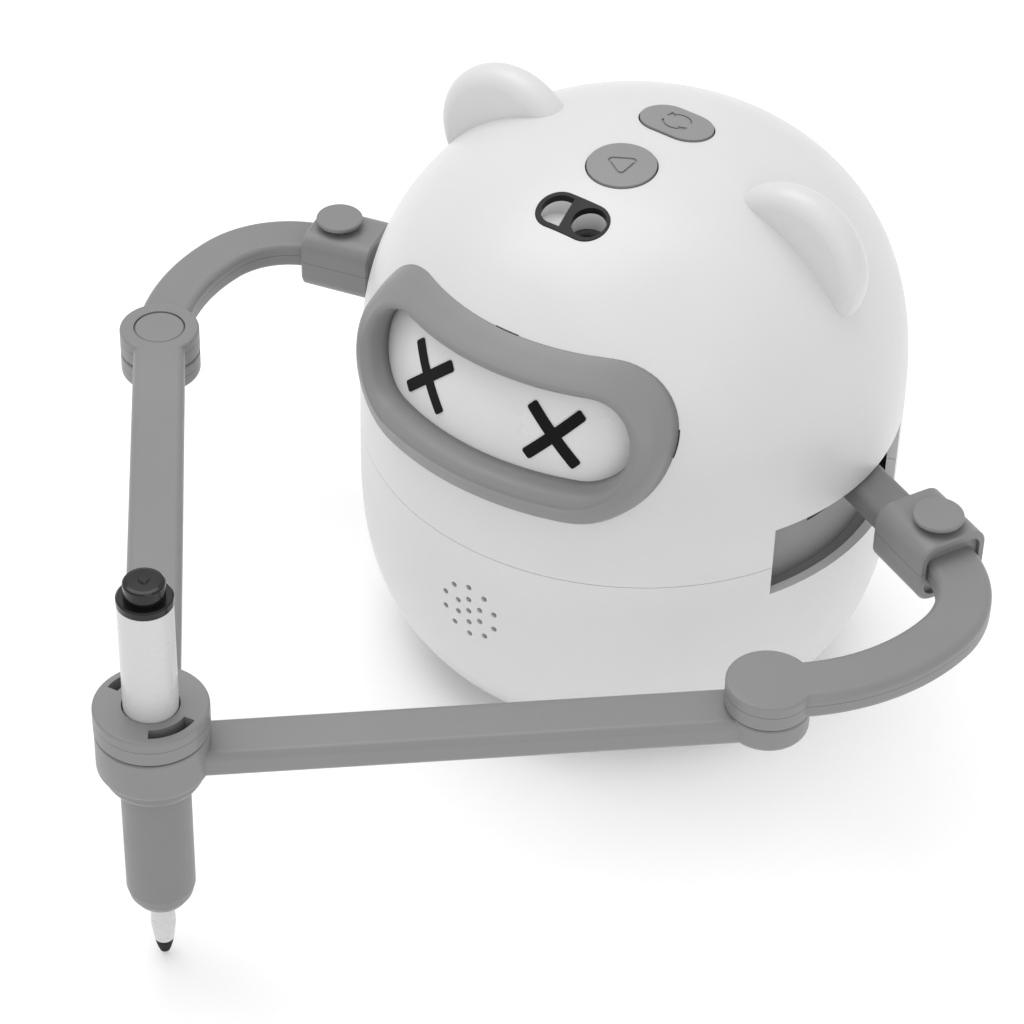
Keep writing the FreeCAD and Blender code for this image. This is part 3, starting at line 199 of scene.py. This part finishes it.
EYE_BLACK = moulded("eye_black", 0.006, 0.5, grain=0.02, tint=0.002, specular=0.12)
GLOSS_BLACK = moulded("gloss_black", 0.005, 0.18, grain=0.0, tint=0.001, specular=0.4)
PEN_WHITE = moulded("pen_white", 0.60, 0.28, tint=0.008)
RUBBER = moulded("rubber", 0.035, 0.8, grain=0.15, tint=0.008)
FIBRE = moulded("fibre_nib", 0.01, 0.9, grain=0.2, tint=0.003)
STEEL = metal("steel", 0.55, 0.3)
BOARD = circuit_board("circuit_board")
GLASS = clear_glass("clear_glass")
CELL = moulded("cell_wrap", 0.10, 0.25)

NODE_MATERIALS = {
    "base_shell": WHITE, "head_shell": WHITE, "face_panel": PANEL_WHITE, "camera_housing": PANEL_WHITE,
    "slot_liners": LINER_GREY, "visor_frame": VISOR_GREY, "play_button": BUTTON_GREY, "loop_button": BUTTON_GREY,
    "right_drive_arm": GREY, "left_drive_arm": GREY, "right_curved_arm": LOWER_GREY,
    "left_curved_arm": UPPER_GREY, "right_lock_button": GREY, "left_lock_button": GREY,
    "right_forearm": UPPER_GREY, "left_forearm": GREY, "right_elbow_cap": GREY, "marker_holder": HOLDER_GREY,
    "holder_collar": HOLDER_GREY, "power_switch": GREY,
    "base_plate": DARK, "battery_tray": DARK, "motor_frame": DARK, "switch_body": DARK,
    "camera_bezel": BLACK, "eye_marks": BLACK, "marker_plug": GLOSS_BLACK, "marker_nib": FIBRE,
    "speaker": BLACK, "camera_lens_barrel": DARK, "marker_barrel": PEN_WHITE, "base_pad": RUBBER,
    "camera_lens": GLASS, "sensor_window": PANEL_WHITE,
    "camera_board": BOARD, "button_board": BOARD, "main_board": BOARD, "rear_board": BOARD,
    "key_switches": DARK, "right_gearmotor": STEEL, "left_gearmotor": STEEL, "right_output_shaft": STEEL,
    "left_output_shaft": STEEL, "right_elbow_pin": STEEL, "left_elbow_pin": STEEL,
    "right_lock_spring": STEEL, "left_lock_spring": STEEL, "base_screws": STEEL,
    "charging_socket": STEEL, "charging_tongue": STEEL, "battery_cells": CELL,
}


def dress_cad_nodes():
    """Give every carried-over CAD node its material."""
    for name, material in NODE_MATERIALS.items():
        node = NODES[name]
        node.data.materials.clear()
        node.data.materials.append(material)


# ---------------------------------------------------------------- visor

# Sections of the visor frame: how far outside the opening's outline, how far outside the dome (mm).
# They run from the panel, up the inner wall, over the rolled rim and the shoulder, down to the dome.
TOP_SECTION = ((0.0, -1.5), (0.2, 0.5), (0.6, 2.6), (1.0, 3.6), (1.7, 4.4), (2.4, 4.85), (3.0, 4.6),
               (4.2, 3.4), (5.8, 1.9), (7.2, 0.5), (7.6, -0.6))
BOTTOM_SECTION = ((0.0, -1.5), (0.2, 0.8), (0.6, 3.0), (1.2, 4.1), (2.1, 5.0), (3.0, 5.55), (3.8, 5.1),
                  (5.6, 4.5), (8.0, 3.9), (9.6, 2.2), (10.6, -0.6))
SIDE_SECTION = ((0.0, -1.5), (0.2, 0.8), (0.6, 3.0), (1.1, 4.4), (1.9, 5.4), (2.7, 6.1), (3.4, 5.7),
                (4.9, 6.0), (6.2, 5.6), (7.0, 2.8), (7.4, -0.6))
VISOR_STEPS = 160


def visor_outline(count):
    """Points of the opening's stadium outline seen from the front, with the outward direction."""
    radius = (VISOR_HIGH_Z - VISOR_LOW_Z) / 2
    middle = (VISOR_HIGH_Z + VISOR_LOW_Z) / 2
    flat = VISOR_HALF_WIDTH - radius
    arc = math.pi * radius
    around = 4 * flat + 2 * arc
    points = []
    for step in range(count):
        run = around * step / count
        if run < 2 * flat:
            points.append((run - flat, VISOR_HIGH_Z, math.pi / 2))
        elif run < 2 * flat + arc:
            angle = math.pi / 2 - (run - 2 * flat) / radius
            points.append((flat + radius * math.cos(angle), middle + radius * math.sin(angle), angle))
        elif run < 4 * flat + arc:
            points.append((flat - (run - 2 * flat - arc), VISOR_LOW_Z, -math.pi / 2))
        else:
            angle = -math.pi / 2 - (run - 4 * flat - arc) / radius
            points.append((-flat + radius * math.cos(angle), middle + radius * math.sin(angle), angle))
    return points


def visor_section(x, z, angle):
    """The frame's section at one place of the outline, blended from the top, bottom and side sections."""
    top = max(0.0, math.sin(angle)) ** 2
    bottom = max(0.0, -math.sin(angle)) ** 2
    side = math.cos(angle) ** 2
    points = []
    for high, low, end in zip(TOP_SECTION, BOTTOM_SECTION, SIDE_SECTION):
        out = high[0] * top + low[0] * bottom + end[0] * side
        rise = high[1] * top + low[1] * bottom + end[1] * side
        place_x = x + out * math.cos(angle)
        place_z = z + out * math.sin(angle)
        radius = dome_radius(place_z) + rise
        points.append(mm(place_x, -math.sqrt(radius ** 2 - place_x ** 2), place_z))
    return points


def make_visor():
    """Grey visor frame: a rolled rim round the opening that follows the dome and slopes back to it."""
    mesh = bmesh.new()
    rows = []
    for x, z, angle in visor_outline(VISOR_STEPS):
        rows.append([mesh.verts.new(point) for point in visor_section(x, z, angle)])
    count = len(rows[0])
    for step in range(VISOR_STEPS):
        row, following = rows[step], rows[(step + 1) % VISOR_STEPS]
        for level in range(count):
            above = (level + 1) % count
            mesh.faces.new((row[level], row[above], following[above], following[level]))
    bmesh.ops.recalc_face_normals(mesh, faces=mesh.faces)
    for face in mesh.faces:
        face.smooth = True
    data = bpy.data.meshes.new("visor")
    mesh.to_mesh(data)
    mesh.free()
    data.materials.append(VISOR_GREY)
    piece = bpy.data.objects.new("visor", data)
    bpy.context.scene.collection.objects.link(piece)
    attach(piece, "housing")
    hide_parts("visor_frame")


# X eyes on the face panel, as in the CAD model but with their measured stroke (mm and radians).
PANEL_DEPTH = 1.6
EYE_ANGLE = math.radians(16.6)
EYE_Z = 106.7
EYE_STROKE = 17.8
EYE_WIDTH = 2.8
EYE_ROUND = 0.6
EYE_HEIGHT = 0.3


def eye_bar(mesh, side, lean):
    """One rounded stroke of an X, laid on the curve of the face panel."""
    half = EYE_STROKE / 2
    steps = 28
    ends = [half - EYE_ROUND + EYE_ROUND * math.sin(math.pi / 2 * step / 5) for step in range(6)]
    middle = [(half - EYE_ROUND) * (2 * step / steps - 1) for step in range(1, steps)]
    rows = []
    for along in [-end for end in reversed(ends)] + middle + ends:
        past = max(0.0, abs(along) - (half - EYE_ROUND))
        reach = EYE_WIDTH / 2 - EYE_ROUND + math.sqrt(max(0.0, EYE_ROUND ** 2 - past ** 2))
        row = []
        for across in (-reach, -reach / 3, reach / 3, reach):
            local_x = (along * lean + across) * math.sqrt(0.5)
            local_z = (along - across * lean) * math.sqrt(0.5)
            z = EYE_Z + local_z
            radius = dome_radius(z, PANEL_DEPTH) + EYE_HEIGHT
            point = mm(local_x, -math.sqrt(radius ** 2 - local_x ** 2), z)
            point.rotate(Matrix.Rotation(side * EYE_ANGLE, 3, "Z"))
            row.append(mesh.verts.new(point))
        rows.append(row)
    for row, following in zip(rows, rows[1:]):
        for place in range(3):
            corners = (row[place], row[place + 1], following[place + 1], following[place])
            mesh.faces.new(corners)


def make_eyes():
    """The two X-shaped eyes, a thin black print standing on the panel."""
    mesh = bmesh.new()
    for side in (-1, 1):
        for lean in (-1, 1):
            eye_bar(mesh, side, lean)
    bmesh.ops.recalc_face_normals(mesh, faces=mesh.faces)
    for face in mesh.faces:
        face.normal_update()
        if face.normal.y > 0:
            face.normal_flip()
    data = bpy.data.meshes.new("eyes")
    mesh.to_mesh(data)
    mesh.free()
    data.materials.append(EYE_BLACK)
    piece = bpy.data.objects.new("eyes", data)
    bpy.context.scene.collection.objects.link(piece)
    thickness = piece.modifiers.new("thickness", "SOLIDIFY")
    thickness.thickness = 0.0004
    thickness.offset = -1.0
    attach(piece, "housing")
    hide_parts("eye_marks")


# Painted shade of the slits where the frame meets the dome, black strips laid on the dome: outward reach (mm),
# and the part of the outline they run along.
SLIT_NEAR = 7.1
SLIT_FAR = 7.55
SLIT_RISE = 0.1
TOP_SLIT_FROM_X = -2.5
TOP_SLIT_TO_X = 4.0
END_SLIT_FROM = math.radians(-8.0)
END_SLIT_TO = math.radians(14.0)


def slit_shade_strip(mesh, places):
    """A narrow black strip of painted shade, laid on the dome along some places of the visor's outline."""
    rows = []
    for x, z, angle in places:
        row = []
        for out in (SLIT_NEAR, SLIT_FAR):
            place_x = x + out * math.cos(angle)
            place_z = z + out * math.sin(angle)
            radius = dome_radius(place_z) + SLIT_RISE
            row.append(mesh.verts.new(mm(place_x, -math.sqrt(radius ** 2 - place_x ** 2), place_z)))
        rows.append(row)
    for row, following in zip(rows, rows[1:]):
        mesh.faces.new((row[0], row[1], following[1], following[0]))


def make_visor_slit_shade():
    """Painted shade of the snap-fit slits, black strips: one over the middle of the visor and one at each end."""
    outline = visor_outline(4 * VISOR_STEPS)
    top = [place for place in outline if place[2] == math.pi / 2 and TOP_SLIT_FROM_X <= place[0] <= TOP_SLIT_TO_X]
    end = [place for place in outline if place[0] > 0 and END_SLIT_FROM <= place[2] <= END_SLIT_TO]
    mesh = bmesh.new()
    slit_shade_strip(mesh, top)
    slit_shade_strip(mesh, end)
    slit_shade_strip(mesh, [(-x, z, math.pi - angle) for x, z, angle in end])
    data = bpy.data.meshes.new("visor_slit_shade")
    mesh.to_mesh(data)
    mesh.free()
    # The black here is painted shade, standing for the dark inside the slits.
    data.materials.append(BLACK)
    piece = bpy.data.objects.new("visor_slit_shade", data)
    bpy.context.scene.collection.objects.link(piece)
    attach(piece, "housing")


# ---------------------------------------------------------------- stage, light and camera

FLOOR_GLOW = 0.16


def make_floor():
    """A pale flat sheet under the object."""
    bpy.ops.mesh.primitive_plane_add(size=8.0, location=(0, 0, -0.0002))
    floor = bpy.context.object
    floor.name = "floor"
    material = moulded("floor_paper", 0.94, 0.9, grain=0.0, tint=0.004, specular=0.1)
    shader = material.node_tree.nodes["Principled BSDF"]
    shader.inputs["Emission Color"].default_value = (1.0, 1.0, 1.0, 1.0)
    shader.inputs["Emission Strength"].default_value = FLOOR_GLOW
    floor.data.materials.append(material)


def area_light(name, place, target, width, height, power):
    light = bpy.data.lights.new(name, "AREA")
    light.shape = "RECTANGLE"
    light.size = width
    light.size_y = height
    light.energy = power
    lamp = bpy.data.objects.new(name, light)
    bpy.context.scene.collection.objects.link(lamp)
    lamp.location = place
    lamp.rotation_euler = (Vector(target) - Vector(place)).to_track_quat("-Z", "Y").to_euler()
    return lamp


def make_lights():
    """A bright even room with a big soft key above and to the left, and a weaker fill."""
    world = bpy.data.worlds.new("studio")
    world.use_nodes = True
    background = world.node_tree.nodes["Background"]
    background.inputs["Color"].default_value = (1.0, 1.0, 1.0, 1.0)
    background.inputs["Strength"].default_value = 0.82
    bpy.context.scene.world = world
    middle = (0.0, -0.05, 0.08)
    area_light("key", (-0.35, 0.05, 1.05), middle, 0.9, 0.7, 4.5)
    area_light("fill", (1.1, -0.8, 0.6), middle, 0.8, 0.8, 2.0)
    bpy.context.scene.view_settings.view_transform = "Standard"


CAMERA_AZIMUTH = math.radians(34.941)
CAMERA_ELEVATION = math.radians(40.026)
CAMERA_ROLL = math.radians(-1.754)
CAMERA_DISTANCE_MM = 834.37
CAMERA_TARGET_MM = (4.687, -57.071, 74.6)
CAMERA_LENS = 123.05


def make_camera():
    """The camera stands at the photograph's angle, with a slight roll."""
    sin_a, cos_a = math.sin(CAMERA_AZIMUTH), math.cos(CAMERA_AZIMUTH)
    sin_e, cos_e = math.sin(CAMERA_ELEVATION), math.cos(CAMERA_ELEVATION)
    back = Vector((sin_a * cos_e, -cos_a * cos_e, sin_e))
    right = Vector((cos_a, sin_a, 0.0))
    down = Vector((sin_a * sin_e, -cos_a * sin_e, -cos_e))
    rolled_right = right * math.cos(CAMERA_ROLL) + down * math.sin(CAMERA_ROLL)
    rolled_down = down * math.cos(CAMERA_ROLL) - right * math.sin(CAMERA_ROLL)
    data = bpy.data.cameras.new("camera")
    data.lens = CAMERA_LENS
    data.sensor_width = 36.0
    data.clip_start = 0.05
    data.clip_end = 20.0
    camera = bpy.data.objects.new("camera", data)
    bpy.context.scene.collection.objects.link(camera)
    place = mm(*CAMERA_TARGET_MM) + back * CAMERA_DISTANCE_MM / 1000.0
    turn = Matrix((rolled_right, -rolled_down, back)).transposed().to_4x4()
    camera.matrix_world = Matrix.Translation(place) @ turn
    bpy.context.scene.camera = camera


dress_cad_nodes()
make_visor()
make_visor_slit_shade()
make_eyes()
make_floor()
make_lights()
make_camera()
